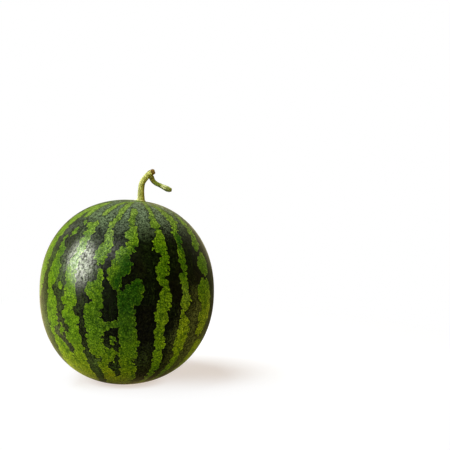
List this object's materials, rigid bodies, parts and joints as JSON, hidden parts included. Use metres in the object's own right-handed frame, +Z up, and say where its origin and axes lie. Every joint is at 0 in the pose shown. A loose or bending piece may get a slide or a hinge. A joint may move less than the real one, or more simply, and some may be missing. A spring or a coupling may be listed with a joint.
{
  "type": "watermelon",
  "caption": "Round striped watermelon with a short curved stalk and a cut stub of side vine, a whole fresh fruit that stands on a small flat spot.",
  "frame": {"origin": "on the flat spot that the fruit stands on, straight below the middle of the fruit", "axes": "+Z up along the fruit's height; the front is -Y; the stalk end leans 8.2 degrees towards +X"},
  "size_m": [0.2694, 0.2694, 0.3308],
  "materials": {
    "rind": "smooth waxy rind, lobed light green stripes with dark green veins on near-black green, soft broad sheen",
    "stalk": "dull yellow-green stalk with soft ridges and fine lengthwise fibres, brown dried tip and paler swollen cut end"
  },
  "bodies": {
    "root": {"fruit": "rind", "stem": "stalk"}
  },
  "joints": []
}
